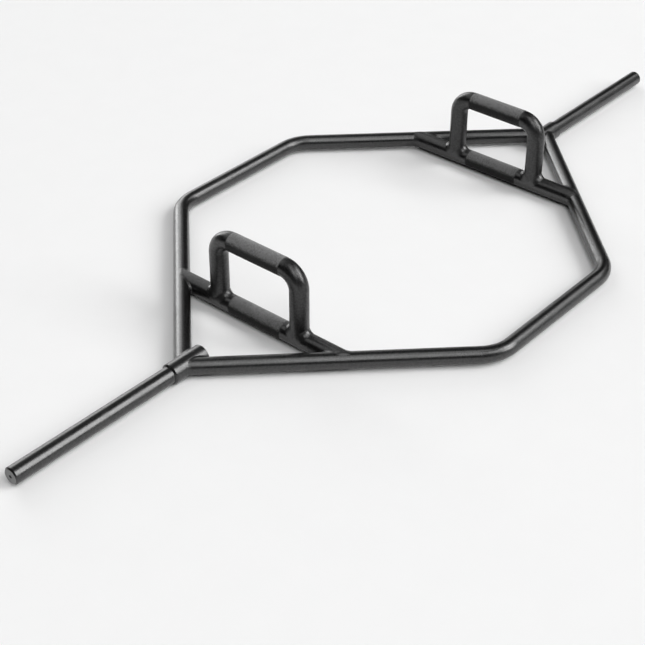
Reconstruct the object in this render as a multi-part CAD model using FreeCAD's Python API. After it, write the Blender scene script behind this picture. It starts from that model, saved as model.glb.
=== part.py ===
"""Hex trap bar: a welded hexagon of bent tube that the lifter stands in, with a low and a raised
knurled handle on each side and a solid plate sleeve at each end.

The bar lies on the floor. X runs along the sleeves, Y from the front of the hexagon to its rear and
Z up, with the origin on the floor under the middle of the bar. Sizes are in millimetres. Each piece
is made for the right-hand side and the rear, and mirrored to the other side and the front.
"""

import FreeCAD, Part
import math
import os

from FreeCAD import Vector

# Sleeves and collars
OVERALL_LENGTH = 1500.0
LOADING_LENGTH = 276.5
SLEEVE_DIAMETER = 25.4
SLEEVE_CHAMFER = 2.0
SHANK_SHOULDER = 0.25
SHANK_CLEARANCE = 0.05
SHANK_RECESS = 5.0
CENTRE_MOUTH_DIAMETER = 5.5
CENTRE_PILOT_DIAMETER = 2.8
CENTRE_PILOT_DEPTH = 6.0
CENTRE_CONE_DEGREES = 60.0
COLLAR_WALL = 3.0
COLLAR_TAIL = 4.75
COLLAR_EDGE_BREAK = 0.8
COLLAR_CHAMFER = 2.0

# Hexagon, measured between the tube's centre lines
FRAME_TUBE_DIAMETER = 25.0
FRAME_TUBE_WALL = 2.5
FRAME_DEPTH = 628.0
FRAME_SIDE_LENGTH = 278.0
FRAME_BEND_RADIUS = 62.0
APEX_INSET = 26.0

# Handles, measured between the tube's centre lines
HANDLE_TUBE_DIAMETER = 28.6
HANDLE_TUBE_WALL = 2.5
HANDLE_BEND_RADIUS = 27.0
GRIP_RISE = 108.0
UPRIGHT_SPACING = 154.4
KNURL_RISE = 0.2

# Welds
FIT_UP_GAP = 0.2
COLLAR_WELD_LEG = 6.0
FRAME_WELD_LEG = 6.0
UPRIGHT_WELD_LEG = 8.0
SLEEVE_WELD_LEG = 4.0
WELD_SPACING = 20.6
WELD_CROWN = 0.8
WELD_FILL_SHARE = 0.8
WELD_BITE = 0.4
WELD_ROOT_DEPTH = 2.0
WELD_STATIONS = 32

# Worked out from the sizes above
SLEEVE_RADIUS = SLEEVE_DIAMETER / 2
SHANK_RADIUS = SLEEVE_RADIUS - SHANK_SHOULDER
COLLAR_BORE_RADIUS = SHANK_RADIUS + SHANK_CLEARANCE
COLLAR_RADIUS = COLLAR_BORE_RADIUS + COLLAR_WALL
FRAME_RADIUS = FRAME_TUBE_DIAMETER / 2
HANDLE_RADIUS = HANDLE_TUBE_DIAMETER / 2
KNURL_RADIUS = HANDLE_RADIUS + KNURL_RISE
AXIS_HEIGHT = max(COLLAR_RADIUS, HANDLE_RADIUS + WELD_CROWN, FRAME_RADIUS + WELD_CROWN)
GRIP_HEIGHT = AXIS_HEIGHT + GRIP_RISE
TIP_X = OVERALL_LENGTH / 2
COLLAR_OUTER_X = TIP_X - LOADING_LENGTH
UPRIGHT_Y = UPRIGHT_SPACING / 2
KNURL_END_Y = UPRIGHT_Y - HANDLE_BEND_RADIUS

ALONG_X = Vector(1, 0, 0)
ALONG_Y = Vector(0, 1, 0)
ALONG_Z = Vector(0, 0, 1)
MIDDLE = Vector(0, 0, AXIS_HEIGHT)
APEX = Vector(COLLAR_OUTER_X - APEX_INSET, 0, AXIS_HEIGHT)
BEND = Vector(FRAME_SIDE_LENGTH / 2, FRAME_DEPTH / 2, AXIS_HEIGHT)
LEG_WAY = (BEND - APEX).normalize()

# A collar runs on past the inner side of its legs, and the sleeve's shank stops short of its inner face
LEG_ROOT_X = APEX.x - (FRAME_RADIUS - COLLAR_RADIUS * LEG_WAY.x) / LEG_WAY.y
COLLAR_INNER_X = LEG_ROOT_X - COLLAR_TAIL
SHANK_END_X = COLLAR_INNER_X + SHANK_RECESS

# A low handle crosses the hexagon where the legs leave room between its end welds and the upright welds
UPRIGHT_WELD_END_Y = UPRIGHT_Y + HANDLE_RADIUS + UPRIGHT_WELD_LEG
LEG_REACH = -(FRAME_RADIUS + HANDLE_RADIUS * LEG_WAY.y) / LEG_WAY.x
LOW_HANDLE_END_Y = UPRIGHT_WELD_END_Y + WELD_SPACING + FRAME_WELD_LEG + LEG_REACH
LOW_HANDLE_END = APEX + LEG_WAY * (LOW_HANDLE_END_Y / LEG_WAY.y)
GRIP_X = LOW_HANDLE_END.x


def opposite(point, normal):
    """The point's mirror image in the middle plane with this normal."""
    return point - normal * (2 * point.dot(normal))


def mirrored(shape, normal):
    """The shape's mirror image in the middle plane with this normal."""
    return shape.mirror(Vector(0, 0, 0), normal)


def rod_between(start, end, radius):
    """Solid round rod from one point to another."""
    return Part.makeCylinder(radius, (end - start).Length, start, end - start)


def rod_along(points, bend_radius, radius):
    """Solid round rod along straight runs joined by tangent arcs."""
    edges = []
    start = points[0]
    for before, corner, after in zip(points, points[1:], points[2:]):
        back = (before - corner).normalize()
        ahead = (after - corner).normalize()
        half_angle = back.getAngle(ahead) / 2
        inward = (back + ahead).normalize()
        centre = corner + inward * (bend_radius / math.sin(half_angle))
        tangent_length = bend_radius / math.tan(half_angle)
        arc_start = corner + back * tangent_length
        arc_end = corner + ahead * tangent_length
        edges.append(Part.LineSegment(start, arc_start).toShape())
        edges.append(Part.Arc(arc_start, centre - inward * bend_radius, arc_end).toShape())
        start = arc_end
    edges.append(Part.LineSegment(start, points[-1]).toShape())
    section = Part.Circle(points[0], points[1] - points[0], radius).toShape()
    return Part.Wire(edges).makePipeShell([Part.Wire([section])], True, False)


def turned(profile):
    """Solid turned about the bar's axis from a closed outline of (x, radius) points."""
    points = [Vector(x, 0, AXIS_HEIGHT + radius) for x, radius in profile]
    face = Part.Face(Part.makePolygon(points + points[:1]))
    return face.revolve(MIDDLE, ALONG_X, 360)


def leg_rod(radius):
    """Solid rod on the line of a slanting leg of the hexagon, past both of the leg's ends."""
    reach = LEG_WAY * FRAME_DEPTH
    return rod_between(APEX - reach, APEX + reach, radius)


def low_handle_rod(radius):
    """Solid rod on a low handle's line that stops on the centre lines of its two legs."""
    reach = ALONG_Y * FRAME_DEPTH
    middle = MIDDLE + ALONG_X * GRIP_X
    corners = [APEX, BEND, opposite(BEND, ALONG_X), opposite(APEX, ALONG_X)]
    corners += [opposite(corner, ALONG_Y) for corner in (opposite(BEND, ALONG_X), BEND)]
    inside = Part.Face(Part.makePolygon(corners + corners[:1]))
    inside.translate(-ALONG_Z * HANDLE_TUBE_DIAMETER)
    inside = inside.extrude(ALONG_Z * (2 * HANDLE_TUBE_DIAMETER))
    return rod_between(middle - reach, middle + reach, radius).common(inside)


def grip_rod(height):
    """Solid rod as long and as thick as the knurled grip of a handle."""
    end = Vector(GRIP_X, KNURL_END_Y, height)
    return rod_between(opposite(end, ALONG_Y), end, KNURL_RADIUS)


def make_half_frame():
    """One bent tube of the hexagon, coped to both collars."""
    points = [opposite(APEX, ALONG_X), opposite(BEND, ALONG_X), BEND, APEX]
    tube = rod_along(points, FRAME_BEND_RADIUS, FRAME_RADIUS)
    tube = tube.cut(rod_along(points, FRAME_BEND_RADIUS, FRAME_RADIUS - FRAME_TUBE_WALL))
    reach = ALONG_X * TIP_X
    return tube.cut(rod_between(MIDDLE - reach, MIDDLE + reach, COLLAR_RADIUS + FIT_UP_GAP))


def make_collar():
    """Collar tube that holds the sleeve and carries the welded legs. Its chamfered end stops the plates."""
    profile = [
        (COLLAR_INNER_X, COLLAR_BORE_RADIUS),
        (COLLAR_INNER_X, COLLAR_RADIUS - COLLAR_EDGE_BREAK),
        (COLLAR_INNER_X + COLLAR_EDGE_BREAK, COLLAR_RADIUS),
        (COLLAR_OUTER_X - COLLAR_CHAMFER, COLLAR_RADIUS),
        (COLLAR_OUTER_X, COLLAR_RADIUS - COLLAR_CHAMFER),
        (COLLAR_OUTER_X, COLLAR_BORE_RADIUS),
    ]
    return turned(profile)


def make_sleeve():
    """Solid plate sleeve with a chamfered tip and a lathe centre hole in its end face. Its shank is turned
    down to fit the collar, and the shoulder seats on the collar's outer face."""
    mouth_radius = CENTRE_MOUTH_DIAMETER / 2
    pilot_radius = CENTRE_PILOT_DIAMETER / 2
    cone_depth = (mouth_radius - pilot_radius) / math.tan(math.radians(CENTRE_CONE_DEGREES / 2))
    profile = [
        (SHANK_END_X, 0),
        (SHANK_END_X, SHANK_RADIUS),
        (COLLAR_OUTER_X, SHANK_RADIUS),
        (COLLAR_OUTER_X, SLEEVE_RADIUS),
        (TIP_X - SLEEVE_CHAMFER, SLEEVE_RADIUS),
        (TIP_X, SLEEVE_RADIUS - SLEEVE_CHAMFER),
        (TIP_X, mouth_radius),
        (TIP_X - cone_depth, pilot_radius),
        (TIP_X - CENTRE_PILOT_DEPTH, pilot_radius),
        (TIP_X - CENTRE_PILOT_DEPTH, 0),
    ]
    return turned(profile)


def make_sleeve_weld():
    """Ring weld between the end of the sleeve's shank and the collar's bore."""
    profile = [
        (SHANK_END_X, COLLAR_BORE_RADIUS),
        (SHANK_END_X - SLEEVE_WELD_LEG, COLLAR_BORE_RADIUS),
        (SHANK_END_X, COLLAR_BORE_RADIUS - SLEEVE_WELD_LEG),
    ]
    return turned(profile)


def make_low_handle():
    """Straight handle tube from leg to leg, coped to both, with its knurled grip."""
    tube = low_handle_rod(HANDLE_RADIUS).fuse(grip_rod(AXIS_HEIGHT))
    tube = tube.cut(low_handle_rod(HANDLE_RADIUS - HANDLE_TUBE_WALL))
    leg = leg_rod(FRAME_RADIUS + FIT_UP_GAP)
    return tube.cut(leg).cut(mirrored(leg, ALONG_Y))


def make_raised_handle():
    """Bent handle tube that stands on the low handle, coped to it, with its knurled grip."""
    foot = Vector(GRIP_X, UPRIGHT_Y, AXIS_HEIGHT)
    corner = Vector(GRIP_X, UPRIGHT_Y, GRIP_HEIGHT)
    points = [opposite(foot, ALONG_Y), opposite(corner, ALONG_Y), corner, foot]
    tube = rod_along(points, HANDLE_BEND_RADIUS, HANDLE_RADIUS).fuse(grip_rod(GRIP_HEIGHT))
    tube = tube.cut(rod_along(points, HANDLE_BEND_RADIUS, HANDLE_RADIUS - HANDLE_TUBE_WALL))
    return tube.cut(low_handle_rod(HANDLE_RADIUS + FIT_UP_GAP))


def weld_rails(foot, branch, branch_radius, main, main_radius, leg):
    """Four closed rails of a fillet weld where a branch tube meets a main tube: its root, its toe on
    the branch, its crown and its toe on the main tube. Both directions have a length of one."""
    across = branch.cross(main).normalize()
    forward = across.cross(branch)
    outward = (branch - main * branch.dot(main)).normalize()
    rails = [[], [], [], []]
    for station in range(WELD_STATIONS):
        angle = 2 * math.pi * station / WELD_STATIONS
        branch_normal = forward * math.cos(angle) + across * math.sin(angle)
        rim = branch_normal * branch_radius
        height = math.sqrt(max(0, main_radius**2 - rim.dot(across) ** 2))
        root = foot + rim + branch * ((height - rim.dot(outward)) / branch.dot(outward))

        turn = math.asin(max(-1, min(1, rim.dot(across) / main_radius)))
        main_normal = outward * math.cos(turn) + across * math.sin(turn)
        toe_turn = turn + leg / main_radius * math.sin(angle)
        toe_normal = outward * math.cos(toe_turn) + across * math.sin(toe_turn)
        toe_shift = main * ((root - foot).dot(main) + leg * math.cos(angle))
        open_way = (branch_normal + main_normal).normalize()
        fill = WELD_FILL_SHARE * leg * (branch_normal - main_normal).Length / 2

        rails[0].append(root - open_way * WELD_ROOT_DEPTH)
        rails[1].append(root + branch * leg - branch_normal * WELD_BITE)
        rails[2].append(root + open_way * (WELD_CROWN + fill))
        rails[3].append(foot + toe_shift + toe_normal * (main_radius - WELD_BITE))
    return rails


def weld_ring(rails):
    """Closed ring with its four long edges on the rails."""
    wires = []
    for rail in rails:
        curve = Part.BSplineCurve()
        curve.interpolate(Points=rail, PeriodicFlag=True)
        wires.append(Part.Wire([curve.toShape()]))
    faces = []
    for wire, next_wire in zip(wires, wires[1:] + wires[:1]):
        faces += Part.makeLoft([wire, next_wire], False, True).Faces
    shell = Part.makeShell(faces)
    shell.sewShape()
    ring = Part.makeSolid(shell)
    return ring if ring.Volume > 0 else ring.reversed()


def make_collar_weld():
    """Fillet weld round a leg where it meets its collar, stopped at the collar's two faces."""
    rails = weld_rails(APEX, LEG_WAY, FRAME_RADIUS, ALONG_X, COLLAR_RADIUS, COLLAR_WELD_LEG)
    span = [MIDDLE + ALONG_X * COLLAR_INNER_X, MIDDLE + ALONG_X * COLLAR_OUTER_X]
    ring = weld_ring(rails).common(rod_between(*span, 2 * COLLAR_RADIUS))
    return ring.cut(rod_between(*span, COLLAR_RADIUS)).cut(leg_rod(FRAME_RADIUS))


def make_low_handle_weld():
    """Fillet weld round a low handle's coped end where it meets a leg."""
    rails = weld_rails(LOW_HANDLE_END, -ALONG_Y, HANDLE_RADIUS, LEG_WAY, FRAME_RADIUS, FRAME_WELD_LEG)
    return weld_ring(rails).cut(leg_rod(FRAME_RADIUS)).cut(low_handle_rod(HANDLE_RADIUS))


def make_raised_handle_weld():
    """Fillet weld round an upright's coped foot on the low handle."""
    foot = Vector(GRIP_X, UPRIGHT_Y, AXIS_HEIGHT)
    rails = weld_rails(foot, ALONG_Z, HANDLE_RADIUS, ALONG_Y, HANDLE_RADIUS, UPRIGHT_WELD_LEG)
    upright = rod_between(foot, foot + ALONG_Z * GRIP_RISE, HANDLE_RADIUS)
    return weld_ring(rails).cut(upright).cut(low_handle_rod(HANDLE_RADIUS))


def make_parts():
    """Every piece of the bar by name."""
    rear_frame = make_half_frame()
    parts = {"rear_half_frame": rear_frame, "front_half_frame": mirrored(rear_frame, ALONG_Y)}
    right_parts = {
        "collar": make_collar(),
        "sleeve": make_sleeve(),
        "sleeve_weld": make_sleeve_weld(),
        "low_handle": make_low_handle(),
        "raised_handle": make_raised_handle(),
    }
    rear_welds = {
        "collar": make_collar_weld(),
        "low_handle": make_low_handle_weld(),
        "raised_handle": make_raised_handle_weld(),
    }
    for name, weld in rear_welds.items():
        right_parts[f"{name}_rear_weld"] = weld
        right_parts[f"{name}_front_weld"] = mirrored(weld, ALONG_Y)
    for name, part in right_parts.items():
        parts[f"right_{name}"] = part
        parts[f"left_{name}"] = mirrored(part, ALONG_X)
    return parts


os.makedirs("parts", exist_ok=True)
for part_name, shape in make_parts().items():
    state = "valid" if shape.isValid() else "not valid"
    print(f"{part_name}: {state}, {len(shape.Solids)} solid, {shape.Volume:.1f} mm3")
    shape.exportStep(f"parts/{part_name}.step")
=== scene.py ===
import math
from collections import namedtuple
from functools import partial

import bmesh
import bpy
from mathutils import Matrix, Vector, noise


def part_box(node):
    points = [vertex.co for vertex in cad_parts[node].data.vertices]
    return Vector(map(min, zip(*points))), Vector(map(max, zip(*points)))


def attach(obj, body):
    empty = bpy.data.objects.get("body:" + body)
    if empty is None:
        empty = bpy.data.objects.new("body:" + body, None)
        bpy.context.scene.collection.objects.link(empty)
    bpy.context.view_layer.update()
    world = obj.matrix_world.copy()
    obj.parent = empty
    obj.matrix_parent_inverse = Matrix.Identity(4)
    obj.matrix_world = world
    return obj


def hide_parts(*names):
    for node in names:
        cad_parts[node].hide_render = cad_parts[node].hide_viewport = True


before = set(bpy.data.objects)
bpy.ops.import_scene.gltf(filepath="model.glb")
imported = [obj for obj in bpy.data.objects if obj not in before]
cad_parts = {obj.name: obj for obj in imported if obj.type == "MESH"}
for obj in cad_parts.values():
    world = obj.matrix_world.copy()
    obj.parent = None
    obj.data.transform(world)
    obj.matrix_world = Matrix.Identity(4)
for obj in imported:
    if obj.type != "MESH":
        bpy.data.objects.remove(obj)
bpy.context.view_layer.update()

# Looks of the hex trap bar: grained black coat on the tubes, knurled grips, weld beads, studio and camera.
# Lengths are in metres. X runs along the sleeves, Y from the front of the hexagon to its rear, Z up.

MM = 0.001
X, Y, Z = Vector((1, 0, 0)), Vector((0, 1, 0)), Vector((0, 0, 1))
SIDES = {"left": -1, "right": 1}
ENDS = {"front": -1, "rear": 1}

# Places taken from the frame
COLLAR_LOW, COLLAR_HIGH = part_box("right_collar")
COLLAR_RADIUS = (COLLAR_HIGH.z - COLLAR_LOW.z) / 2
COLLAR_INNER_X = COLLAR_LOW.x
AXIS_Z = COLLAR_LOW.z + COLLAR_RADIUS
SLEEVE_LOW, SLEEVE_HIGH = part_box("right_sleeve")
TIP_X = SLEEVE_HIGH.x
SHANK_END_X = SLEEVE_LOW.x
FRAME_LOW, FRAME_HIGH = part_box("rear_half_frame")
FRAME_RADIUS = (FRAME_HIGH.z - FRAME_LOW.z) / 2
GRIP_LOW, GRIP_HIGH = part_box("right_raised_handle")
KNURL_RADIUS = (GRIP_HIGH.x - GRIP_LOW.x) / 2
GRIP_X = GRIP_LOW.x + KNURL_RADIUS
RAISED_Z = GRIP_HIGH.z - KNURL_RADIUS

# Sizes that the frame's boxes don't give. The legs' centre lines run from the apex, on the sleeves' axis,
# to the bends of the hexagon.
HANDLE_RADIUS = 14.3 * MM
HANDLE_BEND_RADIUS = 27 * MM
UPRIGHT_Y = GRIP_HIGH.y - HANDLE_RADIUS
KNURL_END_Y = UPRIGHT_Y - HANDLE_BEND_RADIUS
COLLAR_BORE_RADIUS = 12.5 * MM
APEX = Vector((447.5 * MM, 0, AXIS_Z))
BEND = Vector((139 * MM, FRAME_HIGH.y - FRAME_RADIUS, AXIS_Z))
LEG_WAY = (BEND - APEX).normalized()

# Knurl: diamonds round and along a grip, their depth and sloped edge, the seat under the skin, and the
# length over which the cut runs out at each end
KNURL_TURNS = 64
KNURL_LENGTHS = 42
KNURL_DEPTH = 0.2 * MM
KNURL_LAND = 0.3 * MM
KNURL_SEAT_DEPTH = 0.7 * MM
KNURL_RUN_OUT = 2 * MM

# Coat: tone, reflections, clear speckle, and the size and depth of its grain
COAT_BLACK = 0.003
COAT_BLUE = 0.03
COAT_SHINE = 0.84
COAT_ROUGHNESS = 0.3
HANDLE_SHINE = 0.6
HANDLE_ROUGHNESS = 0.33
KNURL_SHINE = 0.3
WELD_SHINE = 1.0
COAT_SPARKLE = 0.3
COAT_GRAIN = 0.06 * MM
GRAIN_SIZE = 0.9 * MM
PEEL_SIZE = 2.8 * MM
MARK_SIZE = 45 * MM

# Turned end face of the sleeves: its tones, the pitch of its rings, and the depth over which the coat gives
# way to it
STEEL_GREYS = (0.16, 0.24)
RING_PITCH = 0.55 * MM
FACE_START = 0.06 * MM
FACE_FULL = 0.02 * MM

# Coat of the knurl: tones in the grooves and on the points, of the black underside and of the upper side,
# which is painted paler as painted light from above, and the sizes of grain, specks and marks
KNURL_BLACKS = (0.004, 0.012)
# Pale tones of the painted light on the knurl's upper side, in the grooves and on the points
KNURL_PAINTED_LIGHT_TONES = (0.075, 0.27)
KNURL_GRAIN_SIZE = 0.5 * MM
KNURL_GRAIN = 0.03 * MM
KNURL_SPECK_SIZE = 2.6 * MM
KNURL_MARK_SIZE = 18 * MM

# Coat of the welds
WELD_GRAIN_SIZE = 1.1 * MM
WELD_GRAIN = 0.02 * MM
WELD_LUMP_SIZE = 6 * MM

# Weld beads: sections round a bead, rows across its face and the row at its root, bite into the tubes,
# depth of the root, ripples round the bead with their bow and drift, and the size of the lumps
BEAD_STATIONS = 192
BEAD_ROWS = 10
ROOT_ROW = BEAD_ROWS + 1
BEAD_BITE = 0.25 * MM
BEAD_ROOT_DEPTH = 1.6 * MM
BEAD_RIPPLES = 26
BEAD_BOW = 2.2
BEAD_DRIFT = 1.5
BEAD_DRIFT_SIZE = 9 * MM
BEAD_LUMP_SIZE = 5 * MM
SLEEVE_BEAD_LEG = 4 * MM
SLEEVE_BEAD_RIPPLES = 22
SLEEVE_BEAD_BOW = 2.0

# Meshes: distances within which vertices merge, lie on a cutting plane, at a rim or in the grip band, the
# angle of a sharp edge, and the least cosine between a tube's wall and its spokes
MERGE_DISTANCE = 1e-3 * MM
PLANE_DISTANCE = 1e-4 * MM
RIM_DISTANCE = 0.01 * MM
BAND_DISTANCE = 0.1 * MM
SHARP_ANGLE = math.radians(35)
WALL_COSINE = 0.8

# Studio
SOFTBOX_DISTANCE = 30.0
FLOOR_HALF_SIZE = 60
FLOOR_SPECKLE_SIZE = 60 * MM
FLOOR_WHITES = (0.84, 0.86)
STUDIO_GREY = 0.025

# Camera, fitted to the tube edges
CAMERA_PLACE = Vector((-1.5423, -1.1956, 1.2213))
CAMERA_VIEW = Vector((0.62017, 0.53352, -0.57511))
CAMERA_LENS_MM = 81.51
CAMERA_SENSOR_MM = 36


class Wire:
    """A shader socket. Sums of wires and numbers add their Math nodes."""

    MIX_FIRST, MIX_SECOND, MIX_RESULT = 6, 7, 2

    def __init__(self, tree, socket=None):
        self.tree = tree
        self.socket = socket

    def node(self, kind, settings=None, sockets=None, output=0):
        """Add a node: its settings first, then the value or the wire of each socket."""
        node = self.tree.nodes.new("ShaderNode" + kind)
        for name, value in (settings or {}).items():
            setattr(node, name, value)
        for name, value in (sockets or {}).items():
            if isinstance(value, Wire):
                self.tree.links.new(value.socket, node.inputs[name])
            else:
                node.inputs[name].default_value = value
        return Wire(self.tree, node.outputs[output] if node.outputs else None)

    def math(self, operation, *values):
        return self.node("Math", {"operation": operation}, dict(enumerate(values)))

    def __add__(self, other):
        return self.math("ADD", self, other)

    def __radd__(self, other):
        return self.math("ADD", other, self)

    def __sub__(self, other):
        return self.math("SUBTRACT", self, other)

    def __rsub__(self, other):
        return self.math("SUBTRACT", other, self)

    def __mul__(self, other):
        return self.math("MULTIPLY", self, other)

    def __rmul__(self, other):
        return self.math("MULTIPLY", other, self)

    def __truediv__(self, other):
        return self.math("DIVIDE", self, other)

    def __pow__(self, power):
        return self.math("POWER", self, power)

    def __abs__(self):
        return self.math("ABSOLUTE", self)

    def sine(self):
        return self.math("SINE", self)

    def ease(self, low, high):
        """0 at low, 1 at high, with soft ends."""
        settings = {"interpolation_type": "SMOOTHSTEP"}
        return self.node("MapRange", settings, {"Value": self, "From Min": low, "From Max": high})

    def between(self, first, second):
        """Mix of two colours, by this value."""
        sockets = {"Factor": self, self.MIX_FIRST: first, self.MIX_SECOND: second}
        return self.node("Mix", {"data_type": "RGBA"}, sockets, output=self.MIX_RESULT)


def grey(value, tint=0.0):
    """A neutral colour, slightly blue for a positive tint."""
    return (value, value, value * (1 + tint), 1)


def new_material(name):
    """An empty node material, a wire to build it with, and the wire of its object coordinates."""
    material = bpy.data.materials.new(name)
    material.use_nodes = True
    material.node_tree.nodes.clear()
    wires = Wire(material.node_tree)
    return material, wires, wires.node("TexCoord", output="Object")


def finish_material(wires, sockets, height, height_size):
    """Close a material with a principled shader and the bump of a height."""
    bump = {"Height": height, "Distance": height_size, "Strength": 1.0}
    sockets = dict(sockets, Normal=wires.node("Bump", None, bump))
    shader = wires.node("BsdfPrincipled", None, sockets)
    wires.node("OutputMaterial", None, {"Surface": shader})


def noise_of(wires, point, size, detail=2.0, roughness=0.5):
    """Noise from 0 to 1 with lumps of about this size."""
    sockets = {"Vector": point, "Scale": 1 / size, "Detail": detail, "Roughness": roughness}
    return wires.node("TexNoise", None, sockets)


def coat_layers(wires, point, roughness, shine):
    """Grain, relief and shader sockets of the black coat, with clear specks and handling dust."""
    grain = noise_of(wires, point, GRAIN_SIZE)
    peel = noise_of(wires, point, PEEL_SIZE, detail=1)
    specks = peel.ease(0.35, 0.65)
    dust = noise_of(wires, point, MARK_SIZE, detail=4, roughness=0.6).ease(0.45, 0.75)
    dull, bright = grey(0.4 * COAT_BLACK), grey(2.4 * COAT_BLACK, COAT_BLUE)
    sockets = {
        "Base Color": (0.6 * specks + 0.4 * dust).between(dull, bright),
        "Roughness": roughness - 0.05 + 0.06 * grain + 0.08 * dust,
        "Specular IOR Level": shine,
        "Coat Weight": COAT_SPARKLE * specks,
        "Coat Roughness": roughness,
    }
    return grain, grain + 0.4 * peel, sockets


def make_coat(name, roughness, shine):
    """Black satin coat with its grain and a speckled clear layer."""
    material, wires, point = new_material(name)
    _, relief, sockets = coat_layers(wires, point, roughness, shine)
    finish_material(wires, sockets, relief, COAT_GRAIN)
    return material


def make_sleeve_coat():
    """Black coat of the sleeves, with a turned end face that shows grey steel under a thin coat."""
    material, wires, point = new_material("sleeve_coat")
    grain, relief, sockets = coat_layers(wires, point, COAT_ROUGHNESS, COAT_SHINE)
    split = wires.node("SeparateXYZ", None, {"Vector": point})
    along, across, up = (Wire(wires.tree, output) for output in split.socket.node.outputs)
    radius = (across**2 + (up - AXIS_Z) ** 2) ** 0.5
    face = abs(along).ease(TIP_X - FACE_START, TIP_X - FACE_FULL)
    rings = (2 * math.pi * (radius / RING_PITCH) + 3 * grain).sine()
    turned = (0.5 + 0.5 * rings).between(*map(grey, STEEL_GREYS))
    sockets["Base Color"] = face.between(sockets["Base Color"], turned)
    sockets["Roughness"] = sockets["Roughness"] + 0.2 * face
    sockets["Coat Weight"] = sockets["Coat Weight"] * (1 - face)
    finish_material(wires, sockets, relief * (1 - face) + 0.22 * rings * face, COAT_GRAIN)
    return material


def make_knurl_coat():
    """Matt coat on the knurl, rubbed on its points, with painted light that makes its upper side paler."""
    material, wires, point = new_material("knurl_coat")
    relief = wires.node("Attribute", {"attribute_name": "relief"}, output="Fac")
    upper = wires.node("Attribute", {"attribute_name": "upper"}, output="Fac")
    grain = noise_of(wires, point, KNURL_GRAIN_SIZE)
    specks = noise_of(wires, point, KNURL_SPECK_SIZE, roughness=0.7).ease(0.3, 0.7)
    marks = noise_of(wires, point, KNURL_MARK_SIZE, detail=3)
    rubbed = (relief * (0.3 + 0.5 * marks + 0.7 * specks)).ease(0.0, 1.1)
    # Painted light: the upper side of the grip is painted paler where the lamps light it, broken up a
    # little by the specks
    painted_light_on_top = (upper + 0.1 * (specks - 0.5)).ease(0.2, 0.65)
    dark = rubbed.between(*map(grey, KNURL_BLACKS))
    pale = rubbed.between(*map(grey, KNURL_PAINTED_LIGHT_TONES))
    sockets = {
        "Base Color": painted_light_on_top.between(dark, pale),
        "Roughness": 0.46 - 0.08 * rubbed + 0.08 * grain,
        "Specular IOR Level": KNURL_SHINE,
    }
    finish_material(wires, sockets, grain, KNURL_GRAIN)
    return material


def make_weld_coat():
    """Glossier coat where it has flowed over the weld beads."""
    material, wires, point = new_material("weld_coat")
    grain = noise_of(wires, point, WELD_GRAIN_SIZE)
    lumps = noise_of(wires, point, WELD_LUMP_SIZE, detail=3)
    sockets = {
        "Base Color": lumps.between(grey(0.8 * COAT_BLACK), grey(1.6 * COAT_BLACK, COAT_BLUE)),
        "Roughness": 0.32 + 0.10 * lumps,
        "Specular IOR Level": WELD_SHINE,
    }
    finish_material(wires, sockets, grain + 3 * lumps, WELD_GRAIN)
    return material


def new_piece(name, bm, material, replaced=()):
    """Turn a bmesh into a finished piece that rides on the bar."""
    bmesh.ops.remove_doubles(bm, verts=bm.verts, dist=MERGE_DISTANCE)
    bmesh.ops.recalc_face_normals(bm, faces=bm.faces)
    mesh = bpy.data.meshes.new(name)
    bm.to_mesh(mesh)
    bm.free()
    mesh.shade_smooth()
    mesh.set_sharp_from_angle(angle=SHARP_ANGLE)
    mesh.materials.append(material)
    piece = bpy.data.objects.new(name, mesh)
    bpy.context.scene.collection.objects.link(piece)
    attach(piece, "root")
    if replaced:
        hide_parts(*replaced)
    return piece


def wrap(bm, place):
    """Move every vertex of a flat sheet to the place that its flat coordinates stand for."""
    for vert in bm.verts:
        vert.co = place(vert.co)


def knurled_sheet():
    """Flat sheet of flat-topped diamonds, one grip long in Y and one turn of the grip wide in X."""
    width = 2 * math.pi * KNURL_RADIUS
    diamond = Vector((width / KNURL_TURNS, 2 * KNURL_END_Y / KNURL_LENGTHS, 1))
    cells = KNURL_TURNS + KNURL_LENGTHS
    bm = bmesh.new()
    bmesh.ops.create_grid(bm, x_segments=cells, y_segments=cells, size=cells / 2)
    bmesh.ops.rotate(bm, verts=bm.verts, matrix=Matrix.Rotation(math.pi / 4, 3, "Z"))
    bmesh.ops.scale(bm, verts=bm.verts, vec=diamond * math.sqrt(0.5))
    bmesh.ops.inset_individual(bm, faces=bm.faces, thickness=KNURL_LAND, depth=KNURL_DEPTH)
    for edge, axis in ((width / 2, X), (KNURL_END_Y, Y)):
        for sign in (-1, 1):
            cut = {"plane_co": sign * edge * axis, "plane_no": sign * axis, "clear_outer": True}
            geometry = bm.verts[:] + bm.edges[:] + bm.faces[:]
            bmesh.ops.bisect_plane(bm, geom=geometry, dist=PLANE_DISTANCE, **cut)
    return bm


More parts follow.
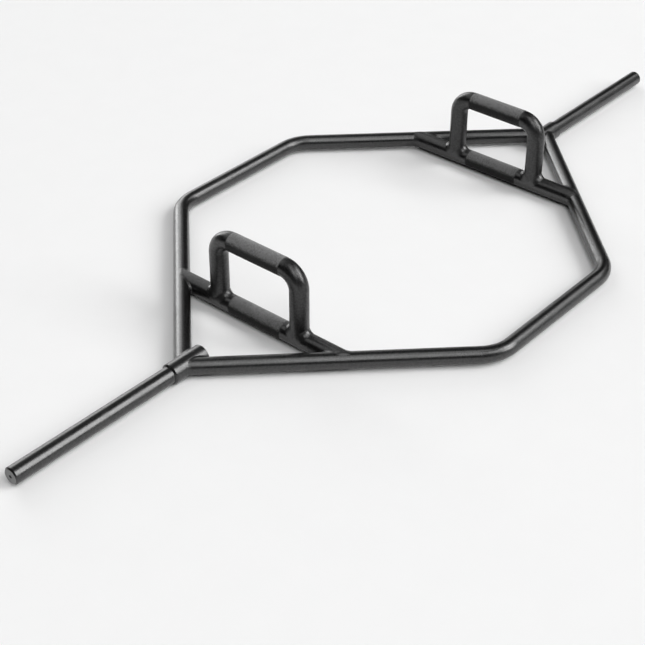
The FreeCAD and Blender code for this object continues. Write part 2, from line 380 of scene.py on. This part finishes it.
def make_knurl(name, side, height):
    """Knurled skin of one grip, with rims that reach down to the seat on the handle tube."""
    bm = knurled_sheet()
    relief = bm.verts.layers.float.new("relief")
    upper = bm.verts.layers.float.new("upper")
    for vert in bm.verts:
        vert.co.z *= min(1, (KNURL_END_Y - abs(vert.co.y)) / KNURL_RUN_OUT)
        vert[relief] = vert.co.z / KNURL_DEPTH
        # upper is 1 on top of the grip and -1 below; the knurl coat paints light on the top with it
        vert[upper] = math.cos(vert.co.x / KNURL_RADIUS)

    def on_rim(edge):
        return edge.is_boundary and all(abs(vert.co.y) > KNURL_END_Y - RIM_DISTANCE for vert in edge.verts)

    rims = [edge for edge in bm.edges if on_rim(edge)]
    skirt = bmesh.ops.extrude_edge_only(bm, edges=rims)["geom"]
    for vert in skirt:
        if isinstance(vert, bmesh.types.BMVert):
            vert.co.z = KNURL_DEPTH - KNURL_SEAT_DEPTH

    def place(flat):
        angle = flat.x / KNURL_RADIUS
        radius = KNURL_RADIUS - KNURL_DEPTH + flat.z
        return Vector((side * GRIP_X + radius * math.sin(angle), flat.y, height + radius * math.cos(angle)))

    wrap(bm, place)
    new_piece(name, bm, KNURL_COAT)


def handle_axis(point, side, height):
    """Nearest point on the centre line of a handle's tube."""
    x = side * GRIP_X
    end = math.copysign(1, point.y)
    bend_z = height - HANDLE_BEND_RADIUS
    if height == AXIS_Z or abs(point.y) < KNURL_END_Y:
        return Vector((x, point.y, height))
    if point.z < bend_z:
        return Vector((x, end * UPRIGHT_Y, point.z))
    middle = Vector((x, end * KNURL_END_Y, bend_z))
    spoke = point - middle
    spoke.x = 0
    return middle + spoke.normalized() * HANDLE_BEND_RADIUS


def round_off(mesh, axis_of):
    """Shade the walls of a tube as truly round, and leave its cut ends flat."""
    normals = []
    for face in mesh.polygons:
        for index in face.vertices:
            point = mesh.vertices[index].co
            spoke = (point - axis_of(point)).normalized()
            facing = spoke.dot(face.normal)
            is_wall = abs(facing) > WALL_COSINE
            normals.append(spoke * math.copysign(1, facing) if is_wall else face.normal.copy())
    mesh.normals_split_custom_set(normals)


def make_handle(node, side, height, coat):
    """Copy of a handle tube with its grip band turned down to seat the knurled skin."""
    bm = bmesh.new()
    bm.from_mesh(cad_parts[node].data)
    bmesh.ops.remove_doubles(bm, verts=bm.verts, dist=MERGE_DISTANCE)
    axis = Vector((side * GRIP_X, 0, height))
    for vert in bm.verts:
        spoke = vert.co - axis
        spoke.y = 0
        if abs(vert.co.y) < KNURL_END_Y + BAND_DISTANCE and spoke.length > KNURL_RADIUS - BAND_DISTANCE:
            vert.co -= spoke * (KNURL_SEAT_DEPTH / spoke.length)
    piece = new_piece(node + "_tube", bm, coat, [node])
    round_off(piece.data, lambda point: handle_axis(point, side, height))


# A branch tube welded to a main tube: where their axes meet, their ways and radii, the bead's legs, how far
# it fills its corner, the height of its ripples, and the X that it doesn't pass
JOINT_FIELDS = "foot branch branch_radius main main_radius leg fill ripple stop_x"
Joint = namedtuple("Joint", JOINT_FIELDS, defaults=[0.0])


def bead_section(joint, angle):
    """Toe on the branch tube, root, toe on the main tube and the open way of a weld at one angle."""
    across = joint.branch.cross(joint.main).normalized()
    forward = across.cross(joint.branch)
    outward = (joint.branch - joint.main * joint.branch.dot(joint.main)).normalized()
    branch_normal = forward * math.cos(angle) + across * math.sin(angle)
    rim = branch_normal * joint.branch_radius
    side = rim.dot(across)
    height = math.sqrt(max(0, joint.main_radius**2 - side**2))
    root = joint.foot + rim + joint.branch * ((height - rim.dot(outward)) / joint.branch.dot(outward))
    turn = math.asin(max(-1, min(1, side / joint.main_radius)))
    main_normal = outward * math.cos(turn) + across * math.sin(turn)
    toe_turn = turn + joint.leg / joint.main_radius * math.sin(angle)
    toe_normal = outward * math.cos(toe_turn) + across * math.sin(toe_turn)
    along = (root - joint.foot).dot(joint.main) + joint.leg * math.cos(angle)
    branch_toe = root + joint.branch * joint.leg - branch_normal * BEAD_BITE
    main_toe = joint.foot + joint.main * along + toe_normal * (joint.main_radius - BEAD_BITE)
    return branch_toe, root, main_toe, (branch_normal + main_normal).normalized()


def fillet_point(joint, angle, row):
    """Point on a rippled fillet weld with a hollow face, by the angle round the branch tube and the row."""
    branch_toe, root, main_toe, open_way = bead_section(joint, angle)
    if row == ROOT_ROW:
        return root - open_way * BEAD_ROOT_DEPTH
    share = row / BEAD_ROWS
    middle = root + open_way * (joint.leg * joint.fill)
    point = branch_toe * (1 - share) ** 2 + middle * (2 * share * (1 - share)) + main_toe * share**2
    swell = math.sin(math.pi * share)
    bow = (2 * share - 1) ** 2
    drift = noise.noise(point / BEAD_DRIFT_SIZE)
    ripple = math.cos(BEAD_RIPPLES * angle + BEAD_BOW * bow + BEAD_DRIFT * drift)
    lump = noise.noise(point / BEAD_LUMP_SIZE)
    point += open_way * (swell * joint.ripple * (0.5 + 0.5 * ripple + 0.6 * lump))
    point.x = max(point.x, joint.stop_x)
    return point


def ring_point(angle, row):
    """Point on the rippled ring weld round the end of the sleeve's shank, inside the collar."""
    spoke = Y * math.cos(angle) + Z * math.sin(angle)
    corner = X * SHANK_END_X + Z * AXIS_Z + spoke * COLLAR_BORE_RADIUS
    if row == ROOT_ROW:
        return corner
    share = row / BEAD_ROWS
    point = corner - X * (SLEEVE_BEAD_LEG * (1 - share)) - spoke * (SLEEVE_BEAD_LEG * share)
    bow = (2 * share - 1) ** 2
    ripple = math.cos(SLEEVE_BEAD_RIPPLES * angle + SLEEVE_BEAD_BOW * bow)
    lump = noise.noise(point / BEAD_LUMP_SIZE)
    swell = math.sin(math.pi * share) * (0.5 + 0.12 * ripple + 0.25 * lump) * MM
    return point - (X + spoke).normalized() * swell


def make_bead(node, point_of, mirror):
    """Weld bead in place of its node: a closed ring of the points of its sections, mirrored to its side."""
    rows = ROOT_ROW + 1
    bm = bmesh.new()
    bmesh.ops.create_grid(bm, x_segments=BEAD_STATIONS, y_segments=rows, size=0.5)

    def place(flat):
        return point_of(2 * math.pi * (flat.x + 0.5), round((flat.y + 0.5) * rows) % rows)

    wrap(bm, place)
    bmesh.ops.scale(bm, verts=bm.verts, vec=mirror)
    new_piece(node + "_bead", bm, WELD_COAT, [node])


def make_welds():
    """All weld beads, made for the right rear and mirrored to the other sides."""
    low_handle_end = APEX + LEG_WAY * ((GRIP_X - APEX.x) / LEG_WAY.x)
    upright_foot = Vector((GRIP_X, UPRIGHT_Y, AXIS_Z))
    joints = {
        "collar": Joint(
            APEX, LEG_WAY, FRAME_RADIUS, X, COLLAR_RADIUS,
            leg=5 * MM, fill=0.0, ripple=0.06 * MM, stop_x=COLLAR_INNER_X,
        ),
        "low_handle": Joint(
            low_handle_end, -Y, HANDLE_RADIUS, LEG_WAY, FRAME_RADIUS,
            leg=6 * MM, fill=0.12, ripple=0.10 * MM,
        ),
        "raised_handle": Joint(
            upright_foot, Z, HANDLE_RADIUS, Y, HANDLE_RADIUS,
            leg=8 * MM, fill=0.2, ripple=0.12 * MM,
        ),
    }
    for side, x_sign in SIDES.items():
        for end, y_sign in ENDS.items():
            mirror = Vector((x_sign, y_sign, 1))
            for name, joint in joints.items():
                make_bead(f"{side}_{name}_{end}_weld", partial(fillet_point, joint), mirror)
        make_bead(f"{side}_sleeve_weld", ring_point, Vector((x_sign, 1, 1)))


def coat_nodes():
    """Give every carried-over tube, collar and sleeve its coat."""
    for node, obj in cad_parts.items():
        if node.endswith("_half_frame") or node.endswith("_collar"):
            obj.data.materials[0] = FRAME_COAT
        elif node.endswith("_sleeve"):
            obj.data.materials[0] = SLEEVE_COAT


def make_grips():
    """Handle tubes and their knurled skins."""
    for side, sign in SIDES.items():
        for level, height, coat in (("low", AXIS_Z, FRAME_COAT), ("raised", RAISED_Z, HANDLE_COAT)):
            make_handle(f"{side}_{level}_handle", sign, height, coat)
            make_knurl(f"{side}_{level}_grip_knurl", sign, height)


def way(azimuth, elevation):
    """Unit vector towards a compass direction, in degrees from +X towards +Y and up."""
    turn, rise = math.radians(azimuth), math.radians(elevation)
    return Vector((math.cos(turn) * math.cos(rise), math.sin(turn) * math.cos(rise), math.sin(rise)))


def add_softbox(name, azimuth, elevation, spread, rise, radiance, roll=0.0):
    """Softbox that faces the middle of the bar. Its place and size are in degrees, as seen from there."""
    width = 2 * SOFTBOX_DISTANCE * math.tan(math.radians(spread / 2))
    height = 2 * SOFTBOX_DISTANCE * math.tan(math.radians(rise / 2))
    lamp = bpy.data.lights.new(name, "AREA")
    lamp.shape = "RECTANGLE"
    lamp.size = width
    lamp.size_y = height
    lamp.energy = radiance * math.pi * width * height
    obj = bpy.data.objects.new(name, lamp)
    toward = way(azimuth, elevation)
    turn = toward.to_track_quat("Z", "Y").to_matrix().to_4x4() @ Matrix.Rotation(math.radians(roll), 4, "Z")
    obj.matrix_world = Matrix.Translation(toward * SOFTBOX_DISTANCE) @ turn
    bpy.context.scene.collection.objects.link(obj)


def make_lamps():
    """Softboxes at the directions in which the tubes show their highlights."""
    add_softbox("softbox_key", azimuth=-56, elevation=35, spread=24, rise=44, radiance=7.3, roll=-34)
    add_softbox("softbox_front", azimuth=-90, elevation=48, spread=18, rise=22, radiance=4.2)
    add_softbox("softbox_camera", azimuth=-131, elevation=52, spread=18, rise=38, radiance=3.5)
    add_softbox("softbox_top", azimuth=-100, elevation=82, spread=30, rise=18, radiance=2.0)
    add_softbox("softbox_right", azimuth=-18, elevation=40, spread=26, rise=14, radiance=2.0)
    add_softbox("softbox_rear", azimuth=76, elevation=9, spread=14, rise=22, radiance=5.4)
    add_softbox("softbox_rear_high", azimuth=75, elevation=26, spread=14, rise=14, radiance=4.3)
    add_softbox("softbox_rear_wide", azimuth=58, elevation=19, spread=15, rise=30, radiance=2.8)
    add_softbox("softbox_rear_right", azimuth=43, elevation=17, spread=15, rise=28, radiance=1.0)
    add_softbox("softbox_left", azimuth=99, elevation=53, spread=62, rise=30, radiance=0.85)


def make_floor():
    """Plain pale floor."""
    material, wires, point = new_material("floor_white")
    speckle = noise_of(wires, point, FLOOR_SPECKLE_SIZE, detail=3)
    diffuse = wires.node("BsdfDiffuse", None, {"Color": speckle.between(*map(grey, FLOOR_WHITES))})
    wires.node("OutputMaterial", None, {"Surface": diffuse})
    bm = bmesh.new()
    bmesh.ops.create_grid(bm, x_segments=1, y_segments=1, size=FLOOR_HALF_SIZE)
    mesh = bpy.data.meshes.new("floor")
    bm.to_mesh(mesh)
    bm.free()
    mesh.materials.append(material)
    floor = bpy.data.objects.new("floor", mesh)
    bpy.context.scene.collection.objects.link(floor)


def make_world():
    """Dim grey studio round the bar."""
    world = bpy.data.worlds.new("studio")
    world.use_nodes = True
    world.node_tree.nodes.clear()
    wires = Wire(world.node_tree)
    background = wires.node("Background", None, {"Color": grey(STUDIO_GREY), "Strength": 1.0})
    wires.node("OutputWorld", None, {"Surface": background})
    bpy.context.scene.world = world


def make_camera():
    """Camera at the photograph's place."""
    data = bpy.data.cameras.new("camera")
    data.lens = CAMERA_LENS_MM
    data.sensor_width = CAMERA_SENSOR_MM
    camera = bpy.data.objects.new("camera", data)
    turn = CAMERA_VIEW.to_track_quat("-Z", "Y").to_matrix().to_4x4()
    camera.matrix_world = Matrix.Translation(CAMERA_PLACE) @ turn
    bpy.context.scene.collection.objects.link(camera)
    bpy.context.scene.camera = camera


FRAME_COAT = make_coat("frame_coat", COAT_ROUGHNESS, COAT_SHINE)
HANDLE_COAT = make_coat("handle_coat", HANDLE_ROUGHNESS, HANDLE_SHINE)
SLEEVE_COAT = make_sleeve_coat()
KNURL_COAT = make_knurl_coat()
WELD_COAT = make_weld_coat()

coat_nodes()
make_grips()
make_welds()
make_floor()
make_world()
make_camera()
make_lamps()
bpy.context.scene.view_settings.view_transform = "Standard"
